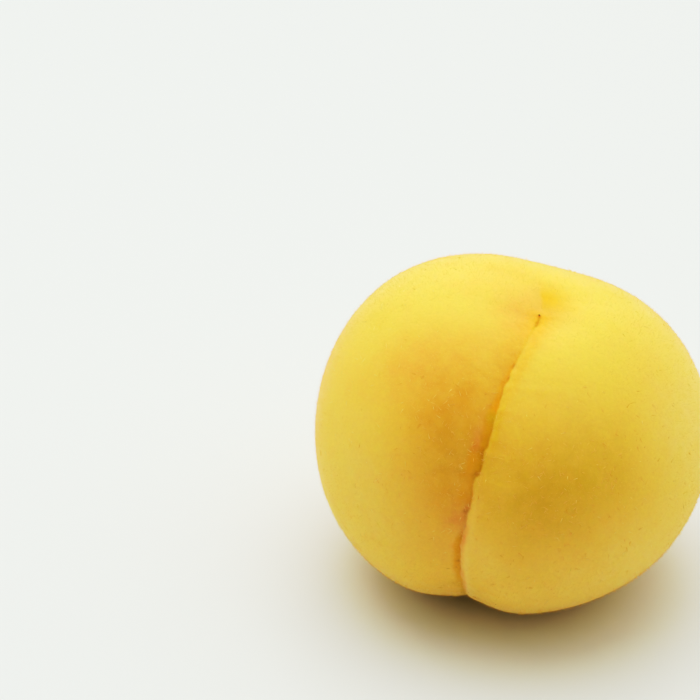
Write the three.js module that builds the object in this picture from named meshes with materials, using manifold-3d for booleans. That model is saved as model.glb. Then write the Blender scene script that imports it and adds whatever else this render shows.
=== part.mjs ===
// A whole yellow peach, picked and at rest on the shoulders round its stem hollow.
// Lengths are millimetres and angles are degrees. +Z is up. The seam groove runs down the
// -Y side, from the blossom tip to the stem hollow, and the fuller cheek is on +X.
// The flesh is one grown body. Every direction out of its core has one distance to the skin,
// worked out in layers (full flesh, swellings, groove, crease, dips and marks at both ends)
// and laid on a sphere's grid. A cut below gives it the small flat that it rests on.

import * as THREE from 'three';
import { mergeVertices } from 'three/addons/utils/BufferGeometryUtils.js';
import Module from 'manifold-3d';

const { clamp, degToRad, lerp, smoothstep } = THREE.MathUtils;

// Reach of the full flesh from the core to each side, before anything is pressed in.
const flesh = { left: 40.1, right: 41.3, front: 40.1, back: 39.3, top: 37.7, bottom: 35.8 };
// Exponents of the rounded form: 2 is an ellipse, and more is squarer.
const squareness = { girth: 2.1, profile: 2.07 };
// The blossom end leans over and the stem end stays level. The lean's heading is turned
// from the groove's side towards +X.
const tipLean = { angle: 13.8, heading: 54 };
// Broad swellings and flats: the way each faces, its height and how tight it is.
const swellings = [
  { faces: new THREE.Vector3(-0.75, 0.15, 0.65), height: 1.5, tightness: 6 },
  { faces: new THREE.Vector3(-0.25, 0.75, 0.60), height: -1.3, tightness: 6 },
  { faces: new THREE.Vector3(0.45, 0.65, 0.60), height: -0.7, tightness: 6 },
  { faces: new THREE.Vector3(0.60, -0.50, -0.65), height: -0.8, tightness: 5 },
];
// The seam groove between the two lobes, and the thin crease at its bottom.
const groove = { depth: 2.3, leftHalf: 8.5, rightHalf: 7.2, pastTip: 4, fadeIn: 5 };
const crease = { depth: 1.0, leftHalf: 1.5, rightHalf: 0.8, sharpness: 1.5 };
// Share of the depth at the tip, what it gains on the way down, and over what angle.
const deepening = { atTip: 0.3, gain: 0.9, angle: 52 };
// The crease strays from the middle plane in two slow waves.
const strays = [
  { reach: 0.24, waves: 3.8, start: 26 },
  { reach: 0.18, waves: 7.2, start: 8 },
];
// Behind the tip the top sags along the groove's line, without a crease.
const saddle = { depth: 1.7, halfWidth: 15, fadeIn: 10 };
// The shallow dip of the blossom end, and the dried point standing in it.
const tipDip = { depth: 2.7, radius: 9 };
const tipPoint = { height: 0.7, radius: 0.6 };
// The deep hollow of the stem end, and the scar where the stalk let go.
const stemHollow = { depth: 11, radius: 11, steepness: 2.4 };
const stemScar = { ringRadius: 2.6, ringHalf: 0.9, ringHeight: 0.6, pitRadius: 1.4, pitDepth: 0.9 };
// Height that the resting flat takes off the lowest shoulder.
const restFlat = 0.7;
// The sphere's grid, and how much it crowds to the groove and to the two ends.
const grid = { columns: 76, rows: 52, grooveCrowding: 0.8, endCrowding: 0.3 };
const skin = { color: 0xefcb52, roughness: 0.85, metalness: 0 };

const up = new THREE.Vector3(0, 0, 1);
const heading = degToRad(tipLean.heading);
const leanWay = new THREE.Vector3(Math.sin(heading), -Math.cos(heading), 0);
const leanAxis = up.clone().cross(leanWay);
for (const swelling of swellings) swelling.faces.normalize();

const bell = (distance, half, power = 2) => Math.exp(-((Math.abs(distance) / half) ** power));

// Direction at an angle down from the tip and a turn away from the groove, on an upright fruit.
function uprightWay(down, turn) {
  return new THREE.Vector3(
    Math.sin(down) * Math.sin(turn), -Math.sin(down) * Math.cos(turn), Math.cos(down));
}

// The same direction with the blossom end leaned over.
function leanedWay(down, turn) {
  const share = 1 - down / Math.PI;
  return uprightWay(down, turn).applyAxisAngle(leanAxis, degToRad(tipLean.angle) * share);
}

// A reach that changes smoothly from one side's value to the other's.
function between(low, high, side) {
  return lerp(low, high, (1 + Math.sin(clamp(side, -1, 1) * Math.PI / 2)) / 2);
}

function fullFlesh(way) {
  const x = Math.abs(way.x) / between(flesh.left, flesh.right, way.x);
  const y = Math.abs(way.y) / between(flesh.front, flesh.back, way.y);
  const z = Math.abs(way.z) / between(flesh.bottom, flesh.top, way.z);
  const girth = (x ** squareness.girth + y ** squareness.girth) ** (1 / squareness.girth);
  const inverse = (girth ** squareness.profile + z ** squareness.profile) ** (1 / squareness.profile);
  let reach = 1 / inverse;
  for (const { faces, height, tightness } of swellings) {
    reach += height * Math.exp((way.dot(faces) - 1) * tightness);
  }
  return reach;
}

// How far the crease lies to the right of the middle plane, at an angle down from the tip.
function creaseLine(down) {
  return strays.reduce(
    (sum, { reach, waves, start }) => sum + reach * Math.sin(waves * down + degToRad(start)), 0);
}

function seam(down, x, y) {
  const side = x - creaseLine(down);
  const { atTip, gain, angle } = deepening;
  const depth = atTip + gain * (1 - Math.exp(-down / degToRad(angle)));
  const start = smoothstep(-y, -groove.pastTip, groove.fadeIn);
  const valley = groove.depth * bell(side, side < 0 ? groove.leftHalf : groove.rightHalf);
  const cut = crease.depth
    * bell(side, side < 0 ? crease.leftHalf : crease.rightHalf, crease.sharpness);
  return depth * start * (valley + cut);
}

function blossomEnd(x, y, height, fromAxis) {
  const sag = saddle.depth * bell(x, saddle.halfWidth)
    * smoothstep(height, 0.1, 0.7) * smoothstep(y, -2, saddle.fadeIn);
  const end = smoothstep(height, -0.2, 0.4);
  return sag + end * (tipDip.depth * bell(fromAxis, tipDip.radius)
    - tipPoint.height * bell(fromAxis, tipPoint.radius));
}

function stemEnd(height, fromAxis) {
  const end = smoothstep(-height, -0.2, 0.4);
  const hollow = stemHollow.depth * bell(fromAxis, stemHollow.radius, stemHollow.steepness);
  const ring = stemScar.ringHeight * bell(fromAxis - stemScar.ringRadius, stemScar.ringHalf);
  const pit = stemScar.pitDepth * bell(fromAxis, stemScar.pitRadius);
  return end * (hollow - ring + pit);
}

// Point of the skin, measured from the core.
function skinPoint(down, turn) {
  const way = leanedWay(down, turn);
  const upright = uprightWay(down, turn);
  const full = fullFlesh(way);
  let reach = full - seam(down, full * upright.x, full * upright.y);
  reach -= blossomEnd(full * upright.x, full * upright.y, upright.z, full * Math.sin(down));
  reach -= stemEnd(upright.z, full * Math.sin(down));
  return way.multiplyScalar(reach);
}

// A sphere's grid, crowded to the groove and the ends, with every vertex moved to the skin.
function skinShell() {
  const shell = new THREE.SphereGeometry(1, grid.columns, grid.rows);
  const { position, uv } = shell.attributes;
  for (let i = 0; i < position.count; i += 1) {
    const evenTurn = (2 * uv.getX(i) - 1) * Math.PI;
    const evenDown = (1 - uv.getY(i)) * Math.PI;
    const turn = evenTurn - grid.grooveCrowding * Math.sin(evenTurn);
    const down = evenDown - grid.endCrowding * Math.sin(2 * evenDown);
    position.setXYZ(i, ...skinPoint(down, turn).toArray());
  }
  return shell;
}

const wasm = await Module();
wasm.setup();

// A closed geometry as a solid that can be cut.
function asSolid(geometry) {
  geometry.deleteAttribute('normal');
  geometry.deleteAttribute('uv');
  const merged = mergeVertices(geometry);
  return new wasm.Manifold(new wasm.Mesh({
    numProp: 3,
    vertProperties: new Float32Array(merged.attributes.position.array),
    triVerts: new Uint32Array(merged.index.array),
  }));
}

function asGeometry(solid) {
  const { vertProperties, triVerts } = solid.getMesh();
  const geometry = new THREE.BufferGeometry();
  geometry.setAttribute('position', new THREE.BufferAttribute(vertProperties, 3));
  geometry.setIndex(new THREE.BufferAttribute(triVerts, 1));
  return geometry;
}

// The fruit with its resting flat, standing on z = 0 with the middle of its box on the Z axis.
function restingPeach() {
  const shell = skinShell();
  shell.computeBoundingBox();
  const floorTop = shell.boundingBox.min.z + restFlat;
  const block = 4 * flesh.right;
  const below = new THREE.BoxGeometry(block, block, block).translate(0, 0, floorTop - block / 2);
  const peach = asGeometry(asSolid(shell).subtract(asSolid(below)));
  peach.computeBoundingBox();
  const middle = peach.boundingBox.getCenter(new THREE.Vector3());
  return peach.translate(-middle.x, -middle.y, -floorTop);
}

const peach = new THREE.Mesh(restingPeach(), new THREE.MeshStandardMaterial(skin));
peach.name = 'peach';
peach.geometry.computeVertexNormals();

const part = new THREE.Group();
part.add(peach);

export default part;
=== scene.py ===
import math
import random

import bmesh
import bpy
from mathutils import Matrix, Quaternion, Vector


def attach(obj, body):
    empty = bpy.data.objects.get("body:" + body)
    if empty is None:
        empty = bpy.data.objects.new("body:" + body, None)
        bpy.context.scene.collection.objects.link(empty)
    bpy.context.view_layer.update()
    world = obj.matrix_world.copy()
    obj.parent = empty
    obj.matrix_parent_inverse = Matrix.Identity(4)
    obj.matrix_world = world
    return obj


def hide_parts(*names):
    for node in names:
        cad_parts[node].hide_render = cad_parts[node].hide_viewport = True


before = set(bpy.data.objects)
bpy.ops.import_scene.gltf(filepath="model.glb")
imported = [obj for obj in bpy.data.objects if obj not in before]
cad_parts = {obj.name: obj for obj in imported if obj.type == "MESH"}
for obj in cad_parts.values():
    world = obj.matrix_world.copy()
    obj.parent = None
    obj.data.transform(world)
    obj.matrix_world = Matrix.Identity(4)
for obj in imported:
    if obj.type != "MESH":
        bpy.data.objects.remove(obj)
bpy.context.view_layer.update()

# A ripe yellow peach: one skin grown by a rule, dressed in fine fuzz, with the dried point at its
# blossom end and the fibres of its stem scar. Lengths are metres and angles radians, unless a name
# says otherwise. The seam groove runs down the -Y side, and the fuller cheek is on +X.

skinNode = "peach"
bodyName = "root"
mm = 0.001   # a millimetre in metres


class Field:
    # a number that a node tree works out, so that a rule reads as plain arithmetic
    def __init__(self, tree, socket):
        self.tree, self.socket = tree, socket

    def __add__(self, other):
        return maths(self.tree, "ADD", self, other)

    def __radd__(self, other):
        return maths(self.tree, "ADD", other, self)

    def __sub__(self, other):
        return maths(self.tree, "SUBTRACT", self, other)

    def __rsub__(self, other):
        return maths(self.tree, "SUBTRACT", other, self)

    def __mul__(self, other):
        return maths(self.tree, "MULTIPLY", self, other)

    def __rmul__(self, other):
        return maths(self.tree, "MULTIPLY", other, self)

    def __truediv__(self, other):
        return maths(self.tree, "DIVIDE", self, other)

    def __rtruediv__(self, other):
        return maths(self.tree, "DIVIDE", other, self)

    def __pow__(self, other):
        return maths(self.tree, "POWER", self, other)

    def __neg__(self):
        return maths(self.tree, "MULTIPLY", self, -1.0)


def plug(tree, value, socket):
    if isinstance(value, Field):
        tree.links.new(value.socket, socket)
    else:
        socket.default_value = value


def node(tree, kind, entries=None, output=0, **settings):
    # adds a node, sets its modes, fills the named entries and gives back one of its outputs
    made = tree.nodes.new(kind)
    for name, value in settings.items():
        setattr(made, name, value)
    for name, value in (entries or {}).items():
        plug(tree, value, made.inputs[name])
    return Field(tree, made.outputs[output])


def maths(tree, operation, *values):
    return node(tree, "ShaderNodeMath", dict(enumerate(values)), operation=operation)


def sine(field):
    return maths(field.tree, "SINE", field)


def cosine(field):
    return maths(field.tree, "COSINE", field)


def exponent(field):
    return maths(field.tree, "EXPONENT", field)


def size(field):
    return maths(field.tree, "ABSOLUTE", field)


def bell(field, half, power=2.0):
    # 1 at nought, falling away on both sides over about half
    return exponent(-((size(field) / half) ** power))


def ease(field, low, high):
    # 0 below low, 1 above high, and smooth between
    return node(field.tree, "ShaderNodeMapRange",
                {"Value": field, "From Min": low, "From Max": high},
                interpolation_type="SMOOTHSTEP")


def choose(test, yes, no):
    # yes where test is 1 and no where it is 0
    return no + (yes - no) * test


def below(field, limit):
    return maths(field.tree, "LESS_THAN", field, limit)


def vector(tree, x, y, z):
    return node(tree, "ShaderNodeCombineXYZ", {"X": x, "Y": y, "Z": z})


def split(tree, field):
    apart = node(tree, "ShaderNodeSeparateXYZ", {"Vector": field}).socket.node
    return [Field(tree, output) for output in apart.outputs]


def scaled(field, by):
    return node(field.tree, "ShaderNodeVectorMath", {0: field, "Scale": by}, operation="SCALE")


def added(field, other):
    return node(field.tree, "ShaderNodeVectorMath", {0: field, 1: other}, operation="ADD")


def along(field, direction):
    return node(field.tree, "ShaderNodeVectorMath", {0: field, 1: direction}, output="Value",
                operation="DOT_PRODUCT")


def noise(place, scale, detail=2.0, roughness=0.5):
    # mottling from 0 to 1, with scale in patches per metre
    return node(place.tree, "ShaderNodeTexNoise",
                {"Vector": place, "Scale": scale, "Detail": detail, "Roughness": roughness})


def startTree(name, sizes, takesMesh=False):
    # a node tree with one named input for each size
    tree = bpy.data.node_groups.new(name, "GeometryNodeTree")
    tree.interface.new_socket("Mesh", in_out="OUTPUT", socket_type="NodeSocketGeometry")
    if takesMesh:
        tree.interface.new_socket("Mesh", in_out="INPUT", socket_type="NodeSocketGeometry")
    for label, value in sizes.items():
        kind = "NodeSocketInt" if isinstance(value, int) else "NodeSocketFloat"
        tree.interface.new_socket(label, in_out="INPUT", socket_type=kind)
    entry = tree.nodes.new("NodeGroupInput")
    return tree, {output.name: Field(tree, output) for output in entry.outputs if output.name}


def endTree(tree, mesh, material):
    # every tree ends with real faces in their material
    solid = node(tree, "GeometryNodeRealizeInstances", {"Geometry": mesh})
    dressed = node(tree, "GeometryNodeSetMaterial", {"Geometry": solid, "Material": material})
    plug(tree, dressed, tree.nodes.new("NodeGroupOutput").inputs[0])


def grow(name, tree, sizes, onMesh=None):
    # runs a tree with its sizes and keeps the result as a plain mesh
    maker = bpy.data.objects.new(name + "Maker", onMesh or bpy.data.meshes.new(name + "Seed"))
    bpy.context.scene.collection.objects.link(maker)
    modifier = maker.modifiers.new(tree.name, "NODES")
    modifier.node_group = tree
    for item in tree.interface.items_tree:
        if item.in_out == "INPUT" and item.name in sizes:
            modifier[item.identifier] = sizes[item.name]
    graph = bpy.context.evaluated_depsgraph_get()
    mesh = bpy.data.meshes.new_from_object(maker.evaluated_get(graph), depsgraph=graph)
    mesh.name = name
    bpy.data.objects.remove(maker)
    piece = bpy.data.objects.new(name, mesh)
    bpy.context.scene.collection.objects.link(piece)
    return piece


def newMaterial(name, roughness):
    material = bpy.data.materials.new(name)
    material.use_nodes = True
    surface = next(n for n in material.node_tree.nodes if n.type == "BSDF_PRINCIPLED")
    surface.inputs["Roughness"].default_value = roughness
    return material, surface


def mixed(factor, first, second):
    # two colours blended by a factor from 0 to 1
    mixer = factor.tree.nodes.new("ShaderNodeMix")
    mixer.data_type = "RGBA"
    entries = [s for s in mixer.inputs if s.enabled]
    for socket, value in zip(entries, (factor, first, second)):
        plug(factor.tree, (*value, 1.0) if isinstance(value, tuple) else value, socket)
    return Field(factor.tree, next(s for s in mixer.outputs if s.enabled))


def attribute(tree, name):
    return node(tree, "ShaderNodeAttribute", output="Fac", attribute_name=name)


def spot(place, centre, radius):
    # 1 at a point, falling away all round it
    gap = node(place.tree, "ShaderNodeVectorMath", {0: place, 1: centre}, output="Value",
               operation="DISTANCE")
    return bell(gap, radius)


def run(field, length, stops):
    # colour and strength that change along a field, from stops of (distance, tone, strength)
    maker = field.tree.nodes.new("ShaderNodeValToRGB")
    maker.color_ramp.interpolation = "EASE"
    for spare in list(maker.color_ramp.elements)[1:]:
        maker.color_ramp.elements.remove(spare)
    for number, (distance, tone, strength) in enumerate(stops):
        stop = maker.color_ramp.elements[0] if number == 0 \
            else maker.color_ramp.elements.new(distance / length)
        stop.position = distance / length
        stop.color = (*skinTones[tone], strength)
    plug(field.tree, field / length, maker.inputs["Fac"])
    return Field(field.tree, maker.outputs["Color"]), Field(field.tree, maker.outputs["Alpha"])


# camera, which looks down on the seam side, with the fruit right of the middle
cameraView = {
    "azimuth": math.radians(13.8),
    "elevation": math.radians(34),
    "distance": 0.52,
    "core": Vector((-0.0004, -0.0001, 0.0317)),   # middle of the fruit, from which it is aimed
    "coreRight": 0.0643,   # how far the core lies right of and below the view's middle,
    "coreDown": 0.0335,    # as shares of its distance
    "lens": 127.8, "sensor": 36,   # millimetres
    "nearest": 0.01, "furthest": 20,
}


def setCamera(view):
    across, down = view["coreRight"], view["coreDown"]
    back = Vector((math.sin(view["azimuth"]) * math.cos(view["elevation"]),
                   -math.cos(view["azimuth"]) * math.cos(view["elevation"]),
                   math.sin(view["elevation"])))
    slant = math.sqrt(1 + across ** 2 + down ** 2)
    pitch = math.asin(slant * math.sin(view["elevation"]) / math.hypot(1, down)) - math.atan(down)
    turn = math.atan2(across, math.cos(pitch) - down * math.sin(pitch))
    lens = bpy.data.cameras.new("camera")
    lens.lens, lens.sensor_width = view["lens"], view["sensor"]
    lens.clip_start, lens.clip_end = view["nearest"], view["furthest"]
    camera = bpy.data.objects.new("camera", lens)
    camera.location = view["core"] + view["distance"] * back
    camera.rotation_euler = (math.pi / 2 - pitch, 0, view["azimuth"] + turn)
    bpy.context.scene.collection.objects.link(camera)
    bpy.context.scene.camera = camera


setCamera(cameraView)
print("camera set")


# the fruit's form: the rule of its solid on a finer mesh, with low relief all over, and with a
# shallower ragged crease that lies further to the right on the front
peachForm = {
    "Segments": 300, "Rings": 320,
    "Groove Crowding": 0.8, "End Crowding": 0.12,   # how the mesh crowds to the groove and the ends
    "Left": 0.0401, "Right": 0.0413, "Front": 0.0401, "Back": 0.0393,
    "Top": 0.0377, "Bottom": 0.0358,
    "Girth Squareness": 2.1, "Profile Squareness": 2.07,
    "Tip Lean": math.radians(13.8), "Lean Heading": math.radians(54),
    "Groove Depth": 0.0023, "Groove Left": 0.0085, "Groove Right": 0.0072,
    "Groove Past Tip": 0.004, "Groove Fade": 0.005,
    "Depth At Tip": 0.3, "Depth Gain": 0.9, "Depth Angle": math.radians(52),
    "Crease Depth": 0.0007, "Crease Left": 0.0015, "Crease Right": 0.0008,
    "Crease Sharpness": 1.5, "Crease Start": 0.0008, "Crease Full": 0.0030,   # in front of the tip
    "Crease Least": 0.65, "Crease Varies": 0.7,   # its depth is uneven from place to place
    "Faint By": 0.65, "Faint At": math.radians(18), "Faint Half": math.radians(8),   # near the tip
    "Drift": 0.00085,   # how far it lies to the right, between these angles down from the tip
    "Drift Start": math.radians(26), "Drift Full": math.radians(60),
    "Drift Fade": math.radians(77), "Drift End": math.radians(96), "Drift Lost": 0.85,
    "Ragged": 0.0011, "Ragged Patches": 340.0, "Step Angle": math.radians(1.6),
    "Ends Start": -0.2, "Ends Full": 0.4,   # shares of the height where each end's form fades in
    "Saddle Depth": 0.0017, "Saddle Half": 0.015, "Saddle Start": -0.002, "Saddle Full": 0.010,
    "Saddle Low": 0.1, "Saddle High": 0.7,
    "Tip Dip Depth": 0.0027, "Tip Dip Radius": 0.009,
    "Hollow Depth": 0.011, "Hollow Radius": 0.011, "Hollow Steepness": 2.4,
    "Scar Radius": 0.0026, "Scar Half": 0.0009, "Scar Height": 0.0006,
    "Scar Pit Radius": 0.0014, "Scar Pit Depth": 0.0009,
    "Rest Flat": 0.0007,
    "Uneven Height": 0.00028, "Uneven Patches": 75.0,
    "Pucker Height": 0.00034, "Pucker Patches": 420.0, "Pucker Half": 0.004,
}
swellings = [   # the way each faces, its height, and how tight it is
    ((-0.75, 0.15, 0.65), 0.0015, 6.0),
    ((-0.25, 0.75, 0.60), -0.0013, 6.0),
    ((0.45, 0.65, 0.60), -0.0007, 6.0),
    ((0.60, -0.50, -0.65), -0.0008, 5.0),
]
creaseStrays = [   # slow waves of the crease: reach, waves in a radian, and start
    (0.00024, 3.8, math.radians(26)),
    (0.00018, 7.2, math.radians(8)),
]
creaseSteps = [   # where it steps to the left: degrees down, step, and degrees until it is back
    (32.5, 0.00035, 3.5), (41, 0.00015, 3), (54.5, 0.00035, 6), (63.5, 0.00070, 8),
    (75, 0.00020, 7), (88, 0.00015, 30),
]


def between(low, high, side):
    # from low at -1 to high at 1
    return low + (high - low) * (1 + sine(side * (math.pi / 2))) * 0.5


def fullFlesh(form, way):
    # reach of the plump flesh along a direction, before anything is pressed in
    x, y, z = split(way.tree, way)
    xShare = size(x) / between(form["Left"], form["Right"], x)
    yShare = size(y) / between(form["Front"], form["Back"], y)
    zShare = size(z) / between(form["Bottom"], form["Top"], z)
    girth, profile = form["Girth Squareness"], form["Profile Squareness"]
    around = (xShare ** girth + yShare ** girth) ** (1 / girth)
    reach = (around ** profile + zShare ** profile) ** (-1 / profile)
    for faces, height, tightness in swellings:
        nearness = along(way, Vector(faces).normalized())
        reach = reach + height * exponent((nearness - 1) * tightness)
    return reach


def peachTree(material):
    tree, form = startTree("peachForm", peachForm)
    ball = node(tree, "GeometryNodeMeshUVSphere",
                {"Segments": form["Segments"], "Rings": form["Rings"], "Radius": 1.0})
    x, y, z = split(tree, node(tree, "GeometryNodeInputPosition"))
    evenDown = maths(tree, "ARCCOSINE", z)
    evenTurn = maths(tree, "ARCTAN2", x, -y)
    turn = evenTurn - form["Groove Crowding"] * sine(evenTurn)
    down = evenDown - form["End Crowding"] * sine(2 * evenDown)
    x, y, z = sine(down) * sine(turn), -(sine(down) * cosine(turn)), cosine(down)
    leanAxis = vector(tree, cosine(form["Lean Heading"]), sine(form["Lean Heading"]), 0.0)
    way = node(tree, "ShaderNodeVectorRotate",
               {"Vector": vector(tree, x, y, z), "Axis": leanAxis,
                "Angle": form["Tip Lean"] * (1 - down / math.pi)}, rotation_type="AXIS_ANGLE")
    full = fullFlesh(form, way)
    place = scaled(way, full)

    # seam: a broad groove with a thin ragged crease in it, which strays from the middle
    ragged = (noise(place, form["Ragged Patches"], 3.0) - 0.5) * form["Ragged"]
    drift = form["Drift"] * ease(down, form["Drift Start"], form["Drift Full"]) \
        * (1 - form["Drift Lost"] * ease(down, form["Drift Fade"], form["Drift End"]))
    side = x * full + ragged - drift
    for reach, waves, start in creaseStrays:
        side = side - reach * sine(down * waves + start)
    for degrees, step, back in creaseSteps:
        start = math.radians(degrees)
        end = form["Step Angle"] + start
        home = 1 - ease(down, end, end + math.radians(back))
        side = side + step * ease(down, start, end) * home
    isLeft = below(side, 0.0)
    gained = 1 - exponent(-(down / form["Depth Angle"]))
    depth = form["Depth At Tip"] + form["Depth Gain"] * gained
    seamStart = ease(-(y * full), -form["Groove Past Tip"], form["Groove Fade"])
    valley = bell(side, choose(isLeft, form["Groove Left"], form["Groove Right"]))
    crease = bell(side, choose(isLeft, form["Crease Left"], form["Crease Right"]),
                  form["Crease Sharpness"])
    faint = 1 - form["Faint By"] * bell(down - form["Faint At"], form["Faint Half"])
    creaseStart = ease(-(y * full), form["Crease Start"], form["Crease Full"])
    patches = noise(place, form["Ragged Patches"] * 0.5)
    varied = form["Crease Least"] + form["Crease Varies"] * patches
    creaseDepth = form["Crease Depth"] * faint * creaseStart * varied
    seam = depth * seamStart * (form["Groove Depth"] * valley + creaseDepth * crease)

    # blossom end and stem end
    fromAxis = sine(down) * full
    topEnd = ease(z, form["Ends Start"], form["Ends Full"])
    stemEnd = ease(-z, form["Ends Start"], form["Ends Full"])
    saddle = form["Saddle Depth"] * bell(x * full, form["Saddle Half"]) \
        * ease(z, form["Saddle Low"], form["Saddle High"]) \
        * ease(y * full, form["Saddle Start"], form["Saddle Full"])
    dip = topEnd * form["Tip Dip Depth"] * bell(fromAxis, form["Tip Dip Radius"])
    hollow = form["Hollow Depth"] * bell(fromAxis, form["Hollow Radius"], form["Hollow Steepness"])
    scarRing = form["Scar Height"] * bell(fromAxis - form["Scar Radius"], form["Scar Half"])
    scarPit = form["Scar Pit Depth"] * bell(fromAxis, form["Scar Pit Radius"])
    pressed = seam + saddle + dip + stemEnd * (hollow - scarRing + scarPit)

    # low unevenness all over, and puckers where the skin draws in to the crease
    uneven = (noise(place, form["Uneven Patches"], 3.0) - 0.5) * form["Uneven Height"]
    pucker = (noise(place, form["Pucker Patches"]) - 0.5) * form["Pucker Height"] \
        * bell(side, form["Pucker Half"]) * seamStart
    point = scaled(way, full - pressed + uneven + pucker)

    # what the skin's colours follow: side of the crease, angle down from the tip, and how far a
    # point lies in front of the tip and from the fruit's axis
    marked = ball
    for name, value in (("seamSide", side), ("fromTip", down), ("frontOfTip", -(y * full)),
                        ("fromAxis", fromAxis)):
        marked = node(tree, "GeometryNodeStoreNamedAttribute",
                      {"Geometry": marked, "Name": name, "Value": value}, data_type="FLOAT")

    # stands on nought with the middle of its box on the Z axis, and its lowest shoulders flat
    shaped = node(tree, "GeometryNodeSetPosition", {"Geometry": marked, "Position": point})
    here = node(tree, "GeometryNodeInputPosition")
    limits = node(tree, "GeometryNodeAttributeStatistic", {"Geometry": shaped, "Attribute": here},
                  output="Min", data_type="FLOAT_VECTOR").socket.node
    low = split(tree, Field(tree, limits.outputs["Min"]))
    high = split(tree, Field(tree, limits.outputs["Max"]))
    atX, atY, atZ = split(tree, here)
    atZ = maths(tree, "MAXIMUM", atZ - low[2] - form["Rest Flat"], 0.0)
    stood = vector(tree, atX - (low[0] + high[0]) * 0.5, atY - (low[1] + high[1]) * 0.5, atZ)

    peach = node(tree, "GeometryNodeSetPosition", {"Geometry": shaped, "Position": stood})
    peach = node(tree, "GeometryNodeSetShadeSmooth", {"Geometry": peach})
    endTree(tree, peach, material)
    return tree


skinTones = {
    "gold": (0.95, 0.60, 0.130), "lemon": (0.94, 0.690, 0.150), "pale": (0.96, 0.66, 0.22),
    "ochre": (0.80, 0.40, 0.040), "mustard": (0.69, 0.485, 0.033), "tan": (0.84, 0.46, 0.10),
    "rose": (0.82, 0.40, 0.11), "glow": (0.97, 0.48, 0.045), "deepYellow": (0.87, 0.465, 0.022),
    "amber": (0.92, 0.46, 0.010), "rust": (0.82, 0.40, 0.010), "olive": (0.76, 0.50, 0.012),
    "apricot": (0.97, 0.50, 0.12), "deepOchre": (0.60, 0.35, 0.022), "moss": (0.82, 0.56, 0.06),
    "clay": (0.88, 0.455, 0.125), "shadeUnderLip": (0.55, 0.30, 0.006),
    "russet": (0.50, 0.20, 0.010), "treacle": (0.75, 0.405, 0.004), "flap": (0.92, 0.42, 0.13),
    "green": (0.55, 0.46, 0.06), "scar": (0.16, 0.085, 0.035),
}
skinLook = {
    "crownFrom": 0.022, "crownTo": 0.064,   # heights between which gold turns to lemon, partly painted light on the crown
    "crownShare": 0.85, "crownDrift": 0.03, "driftPatches": 45.0,   # patches are counted in a metre
    "mottling": 0.16, "mottlePatches": 300.0, "mottleEdge": (0.30, 0.70),
    "flush": 0.25, "flushPatches": 170.0, "flushEdge": (0.50, 0.78),   # apricot patches
    "moss": 0.28, "mossPatches": 130.0, "mossEdge": (0.52, 0.80),      # and greener ones
    "patchRoughness": 0.6,
    "stray": 0.004, "strayPatches": 120.0,   # how far the edges of the patches of blush and of painted light and shade wander
    "patchLeast": 0.75, "patchVaries": 0.5,  # strength of each patch, blush and painted light alike, where the mottling is low or high
    "grain": 0.08, "grainPatches": 1500.0,   # how much the velvet grain lightens and darkens
    "relief": 0.0002, "reliefShare": 0.22,   # and how deep it looks
    # painted shade of the dip behind the tip, and of the fold on its left
    "dimple": Vector((0.0063, -0.0006, 0.0658)), "dimpleRadius": 0.0041, "dimpleYellow": 0.9,
    "foldSlant": 0.32, "foldHalf": 0.0016, "foldEdge": 0.0006, "foldTan": 0.75,
    "hollowRadius": 0.012, "scarRadius": 0.0032, "stemEnd": (115, 150),
    "roughness": 0.62, "specular": 0.2,
    "sheen": 0.58, "sheenRoughness": 0.35, "sheenTint": (1.0, 0.84, 0.52),
    "throughSkin": 0.9, "lightDepth": 0.0022, "lightReach": (1.0, 0.55, 0.15),
}
seamLook = {   # pairs are where something starts and is full, mostly in degrees down from the tip
    "start": (0.0010, 0.0022), "glowStart": (-0.001, 0.002),   # in front of the tip
    "leftEdge": (-0.0001, 0.0003), "roseLeast": 0.40, "roseVaries": 0.8,
    # the bank's ochre is partly painted shade of its slope
    "bankWidth": 0.007, "bankMiddle": 28, "bankHalf": 18, "bankOchre": 0.55,
    # the pale on the right lip is a painted highlight
    "lipRight": 0.0014, "lipHalf": 0.0013, "lipPale": 0.6,
    "lipStart": (60, 85), "lipEnd": (112, 130),
    "narrow": 0.0004, "widens": 0.0008, "widensOver": (26, 44),   # width of the crease
    "narrows": 0.0003, "narrowsOver": (62, 70),
    "widthLeast": 0.3, "widthVaries": 1.4, "widthPatches": 170.0,
    "softFrom": -1.8, "softTo": -0.5,   # its left edge, in widths to the right
    "crispEdge": 0.0005, "ragged": 0.0007, "raggedPatches": 700.0,
    # a thin painted shadow under the right lip, broken into dashes
    "lineRight": -0.00005, "lineHalf": 0.0003, "lineDark": 0.26,
    "lineStart": (30, 40), "lineEnd": (95, 115), "gapPatches": 330.0, "gapEdge": (0.42, 0.60),
    "specksRight": -0.0003, "specksHalf": 0.0005, "specksDark": 0.5, "specksStart": (50, 65),
    "speckPatches": 800.0, "speckEdge": (0.66, 0.74),
}
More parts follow.
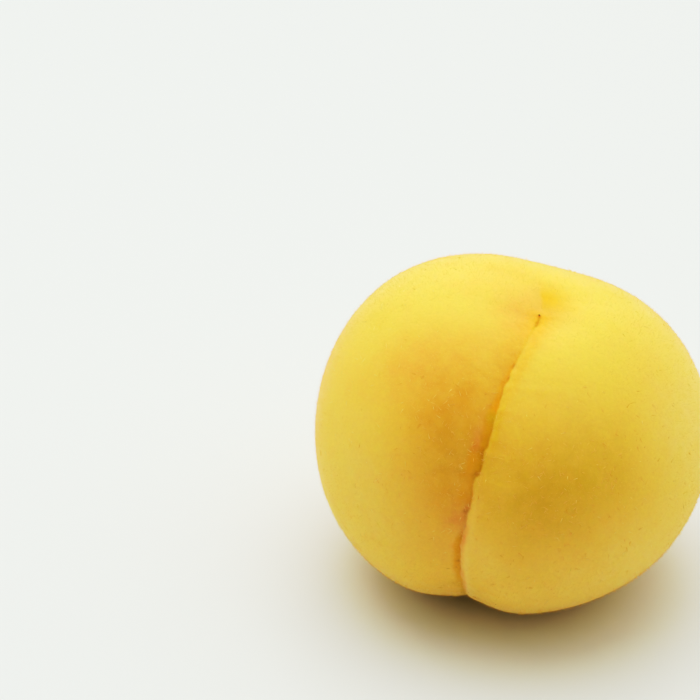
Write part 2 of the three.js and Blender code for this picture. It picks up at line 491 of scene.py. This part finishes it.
blushAndLightPatches = [   # soft patches of blush and of painted light and shade: tone, centre in millimetres, radius in millimetres and strength
    ("apricot", (3, -9, 66), 6, 0.95),            # from the tip down the groove's left bank
    ("apricot", (1, -18, 64), 6, 0.50),
    ("apricot", (9, -4, 65.5), 4.5, 0.40),
    ("apricot", (-1, 1, 67), 7, 0.32),
    ("apricot", (6, -10, 65), 4, 0.40),
    # painted shade on the bank beside the dimple, a shaded copy of apricot
    ("clay", (4.5, -4.5, 66), 5.0, 0.65),
    ("apricot", (6, -12.5, 64.8), 3.5, 0.55),
    ("apricot", (-5, -21, 63), 6, 0.50),          # the blush on the left cheek
    ("apricot", (-15, -23, 60), 8, 0.75),
    ("apricot", (-26, -23, 53), 9, 0.35),
    # painted reflection of warm light on the left rim
    ("apricot", (-38, -8, 48), 11, 0.60),
    ("apricot", (-40, -8, 33), 13, 0.95),
    ("glow", (-39, 1, 38), 9, 0.45),
    ("tan", (-10, -24, 60), 8, 0.50),
    # its darker ochre middle beside the groove: partly blush, partly painted shade
    ("ochre", (-4, -29, 56), 8, 0.60),
    ("ochre", (-8, -33, 49), 10, 0.32),
    ("ochre", (-3, -37, 41), 6, 0.45),
    ("deepOchre", (-1.5, -34, 49), 7, 0.35),
    ("deepOchre", (-10, -35, 45), 12, 0.12),
    # painted light on the lower left flank
    ("pale", (-23, -33, 41), 11, 0.50),
    ("pale", (-17, -37, 30), 10, 0.50),
    ("tan", (-3, -38.5, 28), 6, 0.30),
    ("apricot", (14, -26, 57), 10, 0.35),         # the right cheek
    ("pale", (20, -25, 53), 8, 0.45),
    # its darker middle: partly mustard colour, partly painted shade
    ("mustard", (26, -28, 46), 13, 0.50),
    ("mustard", (17, -35, 40), 13, 0.45),
    ("deepOchre", (13, -36, 42), 9, 0.25),
    ("tan", (31, -7, 56), 9, 0.30),
    # painted sheen on the right rim, and painted light from the floor on the lower right
    ("pale", (37, -9, 47), 13, 0.75),
    ("pale", (18, -36, 25), 12, 0.30),
    ("pale", (32, -26, 26), 13, 0.65),
    ("pale", (4, -38, 27), 6, 0.45),
    ("deepOchre", (-2, -35, 13), 5, 0.35),        # painted shadow where the groove turns under
    ("apricot", (-22, 27, 48), 15, 0.55),         # and what the back has
    ("tan", (-29, 18, 44), 10, 0.45),
    ("ochre", (-20, 31, 38), 9, 0.40),
    ("mustard", (12, 34, 40), 13, 0.40),
    ("apricot", (30, 20, 50), 11, 0.40),
    ("pale", (20, 28, 22), 12, 0.45),
]
creaseStops = [   # along the crease: degrees down from the tip, tone and strength
    (0, "rust", 0.8), (8, "rust", 0.8), (11, "olive", 0.20), (22, "olive", 0.15),
    (28, "amber", 0.40), (36, "amber", 0.50), (40, "amber", 0.85), (42, "amber", 0.85),
    (45, "olive", 0.85), (48, "treacle", 0.85), (62, "treacle", 0.85), (66, "rust", 0.45),
    (72, "rust", 0.50), (76, "rose", 0.80), (84, "rose", 0.60), (88, "rust", 0.80),
    (104, "rust", 0.70), (125, "olive", 0.4), (150, "green", 0.0),
]
# patches beside the crease: middle and half width in millimetres to the right, middle and half
# length in degrees down, and strength
rosePatches = [(-2.0, 1.3, 53, 6, 0.9), (-2.2, 2.0, 80, 10, 0.75)]
rustPatches = [(-1.9, 1.0, 60, 6, 0.75), (-1.9, 1.0, 71.5, 3.5, 0.45)]
glowPatches = [(0.0, 2.6, 5, 7, 0.9), (1.4, 1.4, 24, 16, 0.5)]
# olive patch just right of the crease
oliveLipPatches = [(1.0, 0.9, 48, 9, 0.45)]
flapPatches = [(0.7, 0.6, 87, 5, 0.8), (0.7, 0.6, 108, 9, 0.8)]
corkPatches = [
    (0.0, 0.45, 6.5, 3.2, 0.4), (0.0, 0.30, 27, 0.9, 0.4), (0.0, 0.25, 31.5, 0.8, 0.4),
    (-0.6, 0.40, 63.5, 0.8, 0.4), (-0.4, 0.60, 77, 0.8, 0.4), (-0.2, 0.60, 98, 0.6, 0.4),
]


def beside(side, downTip, patches):
    # strength of patches beside the crease
    amount = 0.0
    for right, halfWidth, degrees, halfLength, strength in patches:
        amount = amount + bell(side - right * mm, halfWidth * mm) \
            * bell(downTip - degrees, halfLength) * strength
    return amount


def baseColour(look, place, mottle):
    # lemon on the crown and gold lower down, in soft drifting patches; the paler lemon of the crown
    # is partly painted light from above
    height = split(place.tree, place)[2]
    drift = (noise(place, look["driftPatches"], 3.0) - 0.5) * look["crownDrift"]
    crown = ease(height + drift, look["crownFrom"], look["crownTo"])
    colour = mixed(crown * look["crownShare"] + (mottle - 0.5) * look["mottling"],
                   skinTones["gold"], skinTones["lemon"])
    flushed = noise(place, look["flushPatches"], 3.0, look["patchRoughness"])
    colour = mixed(ease(flushed, *look["flushEdge"]) * look["flush"], colour, skinTones["apricot"])
    elsewhere = added(place, (0.1, 0.1, 0.1))
    mossy = noise(elsewhere, look["mossPatches"], 3.0, look["patchRoughness"])
    return mixed(ease(mossy, *look["mossEdge"]) * look["moss"], colour, skinTones["moss"])


def addBlushAndLightPatches(look, place, mottle, colour):
    # patches of blush and of painted light and shade, with wandering edges, broken up by the
    # mottling
    wander = node(place.tree, "ShaderNodeTexNoise",
                  {"Vector": place, "Scale": look["strayPatches"]}, output="Color")
    strayed = added(place, scaled(wander, look["stray"]))
    usualStray = Vector((1, 1, 1)) * (look["stray"] / 2)
    varied = look["patchLeast"] + look["patchVaries"] * mottle
    for tone, centre, radius, strength in blushAndLightPatches:
        amount = spot(strayed, Vector(centre) * mm + usualStray, radius * mm)
        colour = mixed(amount * (strength * varied), colour, skinTones[tone])
    return colour


def degreesDown(tree):
    return attribute(tree, "fromTip") * (180 / math.pi)


def dimpled(look, place, colour):
    # behind the tip, painted shade of the dip: deep yellow in the dimple, up to a tan painted shade
    # along the fold on its left
    tree = place.tree
    fromFold = attribute(tree, "seamSide") - attribute(tree, "frontOfTip") * look["foldSlant"]
    dimple = spot(place, look["dimple"], look["dimpleRadius"])
    fold = bell(fromFold + look["foldEdge"], look["foldHalf"])
    colour = mixed(dimple * fold * look["foldTan"], colour, skinTones["tan"])
    inDimple = ease(fromFold, -look["foldEdge"], look["foldEdge"])
    return mixed(dimple * inDimple * look["dimpleYellow"], colour, skinTones["deepYellow"])


def seamed(seam, place, mottle, colour):
    side, frontOfTip = attribute(place.tree, "seamSide"), attribute(place.tree, "frontOfTip")
    downTip = degreesDown(place.tree)
    onSeam = ease(frontOfTip, *seam["start"])

    # the groove's left bank is ochre high up, partly painted shade of its slope into the groove,
    # and rose lower down, up to a crisp edge, and its start glows orange
    isLeft = 1 - ease(side, *seam["leftEdge"])
    bank = ease(side, -seam["bankWidth"], 0.0) * isLeft * onSeam \
        * bell(downTip - seam["bankMiddle"], seam["bankHalf"])
    colour = mixed(bank * seam["bankOchre"], colour, skinTones["ochre"])
    rosy = beside(side, downTip, rosePatches) * isLeft \
        * (seam["roseLeast"] + seam["roseVaries"] * mottle)
    colour = mixed(rosy * onSeam, colour, skinTones["rose"])
    colour = mixed(beside(side, downTip, rustPatches) * onSeam, colour, skinTones["rust"])
    glow = beside(side, downTip, glowPatches) * ease(frontOfTip, *seam["glowStart"])
    colour = mixed(glow, colour, skinTones["glow"])

    # a painted highlight on its right lip low down, with an olive patch higher up and orange flaps
    lipHighlight = bell(side - seam["lipRight"], seam["lipHalf"]) * ease(downTip, *seam["lipStart"]) \
        * (1 - ease(downTip, *seam["lipEnd"]))
    colour = mixed(lipHighlight * onSeam * seam["lipPale"], colour, skinTones["pale"])
    colour = mixed(beside(side, downTip, oliveLipPatches) * onSeam, colour, skinTones["olive"])
    colour = mixed(beside(side, downTip, flapPatches) * onSeam, colour, skinTones["flap"])

    # the crease: crisp on the right, soft on the left and ragged along both
    raggedSide = side + (noise(place, seam["raggedPatches"], 3.0) - 0.5) * seam["ragged"]
    width = seam["narrow"] + seam["widens"] * ease(downTip, *seam["widensOver"]) \
        - seam["narrows"] * ease(downTip, *seam["narrowsOver"])
    width = width * (seam["widthLeast"] + seam["widthVaries"] * noise(place, seam["widthPatches"]))
    line = ease(raggedSide, width * seam["softFrom"], width * seam["softTo"]) \
        * (1 - ease(raggedSide, 0.0, seam["crispEdge"]))
    tone, strength = run(downTip, 180, creaseStops)
    colour = mixed(line * strength * onSeam, colour, tone)

    # a broken painted shadow under its right lip, specks, and corky marks
    gaps = ease(noise(place, seam["gapPatches"]), *seam["gapEdge"])
    lipShadow = bell(raggedSide - seam["lineRight"], seam["lineHalf"]) * gaps \
        * ease(downTip, *seam["lineStart"]) * (1 - ease(downTip, *seam["lineEnd"]))
    colour = mixed(lipShadow * onSeam * seam["lineDark"], colour, skinTones["shadeUnderLip"])
    specks = ease(noise(place, seam["speckPatches"], 1.0), *seam["speckEdge"]) \
        * bell(side - seam["specksRight"], seam["specksHalf"]) \
        * ease(downTip, *seam["specksStart"])
    colour = mixed(specks * onSeam * seam["specksDark"], colour, skinTones["russet"])
    return mixed(beside(side, downTip, corkPatches) * onSeam, colour, skinTones["russet"])


def hollowed(look, tree, colour):
    # greener in the stem hollow, with a brown scar
    fromAxis = attribute(tree, "fromAxis")
    isStem = ease(degreesDown(tree), *look["stemEnd"])
    colour = mixed(isStem * bell(fromAxis, look["hollowRadius"]), colour, skinTones["green"])
    return mixed(isStem * bell(fromAxis, look["scarRadius"], 4.0), colour, skinTones["scar"])


def skinMaterial(look):
    material, surface = newMaterial("peachSkin", look["roughness"])
    tree = material.node_tree
    place = node(tree, "ShaderNodeTexCoord", output="Object")
    mottle = ease(noise(place, look["mottlePatches"], 3.0, look["patchRoughness"]),
                  *look["mottleEdge"])
    colour = baseColour(look, place, mottle)
    colour = addBlushAndLightPatches(look, place, mottle, colour)
    colour = dimpled(look, place, colour)
    colour = seamed(seamLook, place, mottle, colour)
    colour = hollowed(look, tree, colour)

    # velvet grain in the colour, and in the relief
    grain = noise(place, look["grainPatches"], 3.0, 0.7)
    shade = node(tree, "ShaderNodeHueSaturation",
                 {"Value": 1 + (grain - 0.5) * (2 * look["grain"]), "Color": colour})
    plug(tree, shade, surface.inputs["Base Color"])
    bump = node(tree, "ShaderNodeBump",
                {"Strength": look["reliefShare"], "Distance": look["relief"], "Height": grain},
                output="Normal")
    plug(tree, bump, surface.inputs["Normal"])
    surface.inputs["Specular IOR Level"].default_value = look["specular"]
    surface.inputs["Sheen Weight"].default_value = look["sheen"]
    surface.inputs["Sheen Roughness"].default_value = look["sheenRoughness"]
    surface.inputs["Sheen Tint"].default_value = (*look["sheenTint"], 1.0)
    surface.inputs["Subsurface Weight"].default_value = look["throughSkin"]
    surface.inputs["Subsurface Radius"].default_value = look["lightReach"]
    surface.inputs["Subsurface Scale"].default_value = look["lightDepth"]
    return material


skinFinish = skinMaterial(skinLook)
peachSkin = grow("peachSkin", peachTree(skinFinish), peachForm)
print("skin grown:", len(peachSkin.data.polygons), "faces")


# fuzz: closed hairs rooted in the skin, short ones that stand and longer strands that lie along it
fuzzSizes = {
    "Hairs": 1.9e6,        # in a square metre
    "Length": 0.0005, "Length Spread": 0.5, "Thickness": 0.00004,
    "Rise": 1.0, "Lean": 0.9,   # how it points away from the skin, and along it
    "Root": 0.15, "Clear Of Rest": 0.0012,
    "Tufts": 650.0, "Tufted": 0.5,   # patches in a metre where the hairs crowd, and by how much
    "Tufts Start": 0.35, "Tufts Full": 0.65,
    "On Crown": 1.0, "On Dark Patch": 1.0, "Off Dark Patch": 1.0,   # shares that grow at each place
    "Dark Patch Gain": 1.5,
    "Crown Edge": 0.4, "Crown End": 0.9,   # the crown's fading edge, down from the tip
    "Steps": 1, "Bend": 0.0,   # rings of faces along a hair, and its bend in half thicknesses
    "Seed": 1,
}
strandSizes = dict(fuzzSizes, **{
    "Hairs": 0.17e6, "Length": 0.0010, "Thickness": 0.00018, "Rise": 0.22, "Lean": 1.0,
    "On Crown": 0.0, "Steps": 3, "Bend": 3.0,
})
fuzzLots = {   # colour of each lot of hairs, its sizes, and what differs in them
    "fuzzPale": ((0.95, 0.70, 0.25), fuzzSizes, {"Tufted": 0.9, "On Dark Patch": 0.4}),
    "fuzzGold": ((0.94, 0.64, 0.17), fuzzSizes,
                 {"Length": 0.0006, "On Crown": 0.6, "On Dark Patch": 0.8}),
    "fuzzHoney": ((0.90, 0.55, 0.10), fuzzSizes,
                  {"Length": 0.0004, "On Crown": 0.2, "Off Dark Patch": 0.3}),
    "strandsPale": ((0.97, 0.74, 0.29), strandSizes, {"On Dark Patch": 0.2, "Off Dark Patch": 0.2}),
    "strandsGold": ((0.92, 0.63, 0.14), strandSizes, {"Hairs": 0.02e6, "On Dark Patch": 0.0}),
    "strandsTan": ((0.93, 0.60, 0.16), strandSizes, {"Hairs": 0.26e6, "Off Dark Patch": 0.0}),
    # dark strands that stand in for the small shadows among the fuzz: painted shade
    "strandsShade": ((0.78, 0.48, 0.06), strandSizes, {"Hairs": 0.10e6, "Off Dark Patch": 0.0}),
}
fuzzLook = {"roughness": 0.7, "specular": 0.2, "sheen": 0.5}
darkTones = ("ochre", "deepOchre", "mustard")


def fuzzMaterial(name, colour, look):
    material, surface = newMaterial(name, look["roughness"])
    surface.inputs["Base Color"].default_value = (*colour, 1.0)
    surface.inputs["Specular IOR Level"].default_value = look["specular"]
    surface.inputs["Sheen Weight"].default_value = look["sheen"]
    surface.inputs["Sheen Tint"].default_value = (*skinLook["sheenTint"], 1.0)
    return material


def stored(tree, name):
    return node(tree, "GeometryNodeInputNamedAttribute", {"Name": name}, data_type="FLOAT")


def onDarkPatch(place, gain):
    # share of the darker patches at each place, which are blush in part and painted shade in part
    amount = 0.0
    for tone, centre, radius, strength in blushAndLightPatches:
        if tone in darkTones:
            amount = amount + spot(place, Vector(centre) * mm, radius * mm) * strength
    return maths(place.tree, "MINIMUM", amount * gain, 1.0)


def allOver(tree, fuzz):
    # share of the hairs that grows at each place: none where the fruit rests, more in tufts
    place = node(tree, "GeometryNodeInputPosition")
    clear = maths(tree, "GREATER_THAN", split(tree, place)[2], fuzz["Clear Of Rest"])
    crowd = ease(noise(place, fuzz["Tufts"]), fuzz["Tufts Start"], fuzz["Tufts Full"])
    tufts = 1 + fuzz["Tufted"] * (2 * crowd - 1)
    offCrown = ease(stored(tree, "fromTip"), fuzz["Crown Edge"], fuzz["Crown End"])
    return clear * tufts * choose(offCrown, 1.0, fuzz["On Crown"]) \
        * choose(onDarkPatch(place, fuzz["Dark Patch Gain"]), fuzz["On Dark Patch"], fuzz["Off Dark Patch"])


def onScar(tree, fuzz):
    return below(stored(tree, "fromAxis"), fuzz["Scar Radius"]) \
        * maths(tree, "GREATER_THAN", stored(tree, "fromTip"), fuzz["Stem End"])


def fuzzTree(name, sizes, where, material):
    tree, fuzz = startTree(name, sizes, takesMesh=True)
    roots = node(tree, "GeometryNodeDistributePointsOnFaces",
                 {"Mesh": fuzz["Mesh"], "Density": fuzz["Hairs"] * where(tree, fuzz),
                  "Seed": fuzz["Seed"]})
    normal = Field(tree, roots.socket.node.outputs["Normal"])
    tilt = node(tree, "FunctionNodeRandomValue",
                {"Min": (-1.0, -1.0, -1.0), "Max": (1.0, 1.0, 1.0), "Seed": fuzz["Seed"]},
                data_type="FLOAT_VECTOR")
    across = added(tilt, scaled(normal, -along(tilt, normal)))
    way = added(scaled(normal, fuzz["Rise"]), scaled(across, fuzz["Lean"]))
    turned = node(tree, "FunctionNodeAlignRotationToVector", {"Vector": way}, axis="Z")
    chance = node(tree, "FunctionNodeRandomValue", {"Seed": fuzz["Seed"] + 1}, output=1,
                  data_type="FLOAT")
    length = fuzz["Length"] * (1 + (chance * 2 - 1) * fuzz["Length Spread"])
    hair = node(tree, "GeometryNodeMeshCone",
                {"Vertices": 3, "Side Segments": fuzz["Steps"], "Radius Top": 0.0,
                 "Radius Bottom": 1.0, "Depth": 1.0}, fill_type="NGON")
    height = split(tree, node(tree, "GeometryNodeInputPosition"))[2]
    shift = vector(tree, fuzz["Bend"] * height * height, 0.0, -fuzz["Root"])
    sunk = node(tree, "GeometryNodeSetPosition", {"Geometry": hair, "Offset": shift})
    half = fuzz["Thickness"] * 0.5
    hairs = node(tree, "GeometryNodeInstanceOnPoints",
                 {"Points": roots, "Instance": sunk, "Rotation": turned,
                  "Scale": vector(tree, half, half, length)})
    endTree(tree, hairs, material)
    return tree


fuzzPieces = []
for number, (name, (colour, usual, changes)) in enumerate(fuzzLots.items(), start=1):
    sizes = dict(usual, Seed=number * 10, **changes)
    tree = fuzzTree(name, sizes, allOver, fuzzMaterial(name, colour, fuzzLook))
    lot = grow(name, tree, sizes, onMesh=peachSkin.data)
    fuzzPieces.append(lot)
    print("fuzz grown:", name, len(lot.data.polygons), "faces")


# torn fibres of the scar where the stalk let go
fibreSizes = {
    "Hairs": 5.5e6, "Length": 0.0008, "Length Spread": 0.5, "Thickness": 0.00026,
    "Rise": 1.0, "Lean": 0.7, "Root": 0.3, "Steps": 1, "Bend": 0.0,
    "Scar Radius": 0.0026, "Stem End": 2.6,   # they grow this near to the axis, past this angle
    "Seed": 5,
}
fibreLook = {"dark": (0.10, 0.045, 0.018), "light": (0.34, 0.19, 0.085), "roughness": 0.85,
             "patches": 2500.0}


def witheredMaterial(name, look):
    material, surface = newMaterial(name, look["roughness"])
    place = node(material.node_tree, "ShaderNodeTexCoord", output="Object")
    colour = mixed(noise(place, look["patches"], 3.0), look["dark"], look["light"])
    plug(place.tree, colour, surface.inputs["Base Color"])
    return material


scarTree = fuzzTree("scarFibres", fibreSizes, onScar, witheredMaterial("scarFibres", fibreLook))
scarFibres = grow("scarFibres", scarTree, fibreSizes, onMesh=peachSkin.data)
print("scar fibres grown:", len(scarFibres.data.polygons), "faces")


# the dried point at the blossom end, where the groove starts: a withered tuft
tuftSizes = {
    "strands": 5, "sides": 5, "rings": 5,
    "fromTop": Vector((-0.0001, -0.0013, 0)),   # from the blossom end's axis to its foot
    "length": 0.0009, "shortest": 0.5,   # the longest, and the shortest as a share of it
    "thickness": 0.00024, "taper": 0.85, "uneven": 0.2,
    "spread": 0.00014, "sunk": 0.0003,
    "lean": Vector((-0.25, -0.75, 0.6)), "stray": 0.3,   # way it has wilted
    "seed": 4,
}
tuftLook = {"dark": (0.36, 0.22, 0.04), "light": (0.66, 0.48, 0.14), "roughness": 0.85,
            "patches": 2500.0}


def tuftMesh(name, root, sizes):
    # a few tapered strands, each a closed tube that bends over as it wilts
    chance = random.Random(sizes["seed"])
    uneven = sizes["uneven"]
    mesh = bmesh.new()
    for strand in range(sizes["strands"]):
        turn = strand / sizes["strands"] * math.tau
        foot = root + sizes["spread"] * Vector((math.cos(turn), math.sin(turn), 0))
        stray = Vector([chance.uniform(-sizes["stray"], sizes["stray"]) for _ in range(3)])
        length = sizes["length"] * chance.uniform(sizes["shortest"], 1.0)
        loops = []
        for ring in range(sizes["rings"]):
            share = ring / (sizes["rings"] - 1)
            way = (Vector((0, 0, 1)) * (1 - share) + (sizes["lean"] + stray) * share).normalized()
            middle = foot + way * (length * share) - Vector((0, 0, sizes["sunk"])) * (1 - share)
            across = way.orthogonal().normalized()
            half = sizes["thickness"] / 2 * (1 - sizes["taper"] * share) \
                * chance.uniform(1 - uneven, 1 + uneven)
            angles = [side / sizes["sides"] * math.tau for side in range(sizes["sides"])]
            loops.append([mesh.verts.new(middle + half * (Quaternion(way, angle) @ across))
                          for angle in angles])
        for low, high in zip(loops, loops[1:]):
            for side in range(sizes["sides"]):
                after = (side + 1) % sizes["sides"]
                mesh.faces.new((low[side], low[after], high[after], high[side]))
        mesh.faces.new(reversed(loops[0]))
        mesh.faces.new(loops[-1])
    bmesh.ops.recalc_face_normals(mesh, faces=mesh.faces)
    data = bpy.data.meshes.new(name)
    mesh.to_mesh(data)
    mesh.free()
    data.shade_smooth()
    return data


def tuftFoot(mesh, sizes):
    # where the groove starts: a vertex of the skin near the axis of the leaned blossom end
    fromTip = mesh.attributes["fromTip"].data
    top = min(mesh.vertices, key=lambda vertex: fromTip[vertex.index].value).co
    wanted = top + sizes["fromTop"]
    return min(mesh.vertices, key=lambda vertex: (vertex.co - wanted).length).co.copy()


tuftRoot = tuftFoot(peachSkin.data, tuftSizes)
driedTip = bpy.data.objects.new("driedTip", tuftMesh("driedTip", tuftRoot, tuftSizes))
driedTip.data.materials.append(witheredMaterial("driedTip", tuftLook))
bpy.context.scene.collection.objects.link(driedTip)
print("dried tip made:", len(driedTip.data.polygons), "faces")


# floor and soft light
stageLook = {
    "floorColour": (0.745, 0.80, 0.79), "floorHalf": 3.0, "floorRoughness": 0.6,
    "zenith": 1.09, "horizon": 0.80,   # brightness of the soft sky, high up and low down
    "dimWay": Vector((0.20, -0.98, 0)), "dimShare": 0.335,   # where it is dim, and what is left
    "dimFrom": -0.2, "dimTo": 0.9,
    "skyColour": (1.0, 1.0, 1.0), "roomColour": (1.0, 0.76, 0.28),   # high up, and low or dim
    "whiteFrom": 0.5, "dimWarmth": 0.3,
    "backdrop": (0.80, 0.81, 0.81),   # what is seen past the floor's edge
    "lampPower": 6.15, "lampSize": 1.2, "lampPlace": Vector((-0.20, 0.20, 1.2)),
    # what a shade from 0 to 255 is shown as: deeper darks, and brights held just under white
    "film": [(0, 0), (60, 36), (100, 80), (130, 126), (157, 165), (180, 196), (195, 211),
             (217, 227), (235, 238), (255, 250)],
}


def setStage(look):
    half = look["floorHalf"]
    mesh = bpy.data.meshes.new("floor")
    mesh.from_pydata([(-half, -half, 0), (half, -half, 0), (half, half, 0), (-half, half, 0)],
                     [], [(0, 1, 2, 3)])
    floor = bpy.data.objects.new("floor", mesh)
    bpy.context.scene.collection.objects.link(floor)
    material, surface = newMaterial("floorPaint", look["floorRoughness"])
    surface.inputs["Base Color"].default_value = (*look["floorColour"], 1.0)
    mesh.materials.append(material)

    world = bpy.data.worlds.new("softSky")
    world.use_nodes = True
    tree = world.node_tree
    way = node(tree, "ShaderNodeTexCoord", output="Generated")
    z = split(tree, way)[2]
    dim = ease(along(way, look["dimWay"]), look["dimFrom"], look["dimTo"])
    strength = look["horizon"] + (look["zenith"] - look["horizon"]) * ease(z, 0.0, 1.0)
    strength = strength * (1 - (1 - look["dimShare"]) * dim)
    isSeen = node(tree, "ShaderNodeLightPath", output="Is Camera Ray")
    white = ease(z, 0.0, look["whiteFrom"]) * (1 - look["dimWarmth"] * dim)
    glow = mixed(white, look["roomColour"], look["skyColour"])
    plug(tree, choose(isSeen, 1.0, strength), tree.nodes["Background"].inputs["Strength"])
    plug(tree, mixed(isSeen, glow, look["backdrop"]), tree.nodes["Background"].inputs["Color"])
    bpy.context.scene.world = world

    light = bpy.data.lights.new("overheadLamp", "AREA")
    light.energy, light.size = look["lampPower"], look["lampSize"]
    lamp = bpy.data.objects.new("overheadLamp", light)
    lamp.location = look["lampPlace"]
    lamp.rotation_euler = (-look["lampPlace"]).to_track_quat("-Z", "Y").to_euler()
    bpy.context.scene.collection.objects.link(lamp)


def brightness(shade):
    # light of a shade from 0 to 255, by the usual curve of a screen
    share = shade / 255
    return share / 12.92 if share < 0.04045 else ((share + 0.055) / 1.055) ** 2.4


def setFilm(stops):
    settings = bpy.context.scene.view_settings
    settings.view_transform = "Standard"
    settings.use_curve_mapping = True
    curve = settings.curve_mapping.curves[3]
    curve.points[0].location = (0, 0)
    curve.points[1].location = [brightness(shade) for shade in stops[-1]]
    for before, after in stops[1:-1]:
        curve.points.new(brightness(before), brightness(after))
    settings.curve_mapping.update()


setStage(stageLook)
setFilm(stageLook["film"])
print("stage set")

for piece in (peachSkin, *fuzzPieces, scarFibres, driedTip):
    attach(piece, bodyName)
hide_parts(skinNode)
